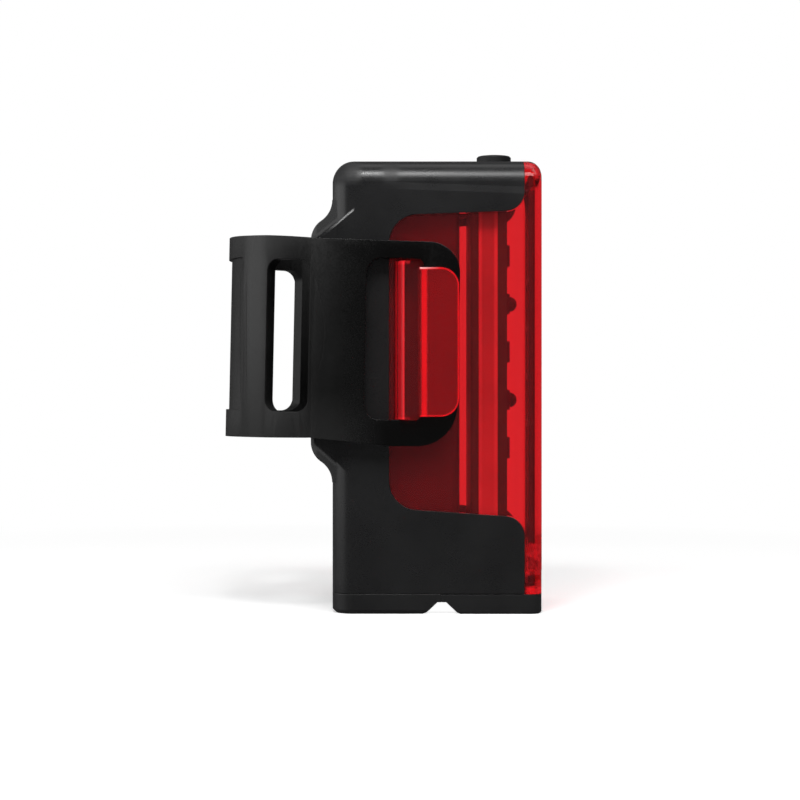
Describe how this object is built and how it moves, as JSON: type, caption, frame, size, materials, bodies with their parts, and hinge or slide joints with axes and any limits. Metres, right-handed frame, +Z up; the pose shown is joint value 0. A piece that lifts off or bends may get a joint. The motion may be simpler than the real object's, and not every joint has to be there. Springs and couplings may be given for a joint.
{
  "type": "bike rear light",
  "caption": "Slim upright bike rear light: black housing, red clear wraparound lens, hooked rubber seatpost strap, top button and a folding base flap over the charging port.",
  "frame": {"origin": "on the base, under the middle of the overall depth and width", "axes": "+Z up along the light's height, +X from the seatpost to the lens, the pictured side faces -Y"},
  "size_m": [0.0518, 0.0312, 0.0748],
  "materials": {
    "housing_plastic": "satin moulded",
    "lens_plastic": "clear red, polished",
    "frame_plastic": "matt moulded",
    "pad_rubber": "matt",
    "base_plastic": "satin moulded",
    "flap_rubber": "satin moulded",
    "seal_rubber": "matt",
    "screw_steel": "plain",
    "cradle_plastic": "matt moulded",
    "cell_sleeve": "shrink sleeve",
    "foam": "open foam",
    "lead_sleeve": "smooth",
    "board_laminate": "solder mask",
    "chip_plastic": "matt moulded",
    "spacer_plastic": "translucent",
    "led_plastic": "clear resin",
    "plunger_plastic": "plain",
    "button_rubber": "satin",
    "socket_steel": "plated",
    "strap_rubber": "smooth moulded"
  },
  "bodies": {
    "light_body": {"housing": "housing_plastic", "lens": "lens_plastic", "optic_frame": "frame_plastic", "saddle_pad": "pad_rubber", "base_cap": "base_plastic", "base_seal": "seal_rubber", "base_screws": "screw_steel", "battery_cradle": "cradle_plastic", "battery_cell": "cell_sleeve", "foam_pad": "foam", "battery_leads": "lead_sleeve", "control_board": "board_laminate", "control_chips": "chip_plastic", "board_spacer": "spacer_plastic", "led_board": "board_laminate", "flat_leds": "led_plastic", "domed_leds": "led_plastic", "switch_body": "chip_plastic", "button_seal": "seal_rubber", "socket_shell": "socket_steel", "socket_tongue": "chip_plastic", "strap": "strap_rubber"},
    "button": {"power_button": "button_rubber", "switch_plunger": "plunger_plastic"},
    "port_flap": {"port_flap": "flap_rubber"},
    "strap_arm": {"strap_arm": "strap_rubber", "strap_end": "strap_rubber"}
  },
  "joints": [
    {"name": "button_press", "type": "slide", "parent": "light_body", "child": "button", "axis": [0, 0, -1], "range_m": [0, 0.0005], "stiffness_N_per_m": 3000},
    {"name": "port_flap_hinge", "type": "hinge", "parent": "light_body", "child": "port_flap", "pos_m": [0.00983, 0, 0.0019], "axis": [0, 1, 0], "range_deg": [0, 90], "stiffness_Nm_per_rad": 0.02},
    {"name": "strap_unhook", "type": "hinge", "parent": "light_body", "child": "strap_arm", "pos_m": [-0.01099, -0.0146, 0.044], "axis": [0, 0, -1], "range_deg": [0, 110], "stiffness_Nm_per_rad": 0.01, "deforming": ["strap_end"]}
  ]
}
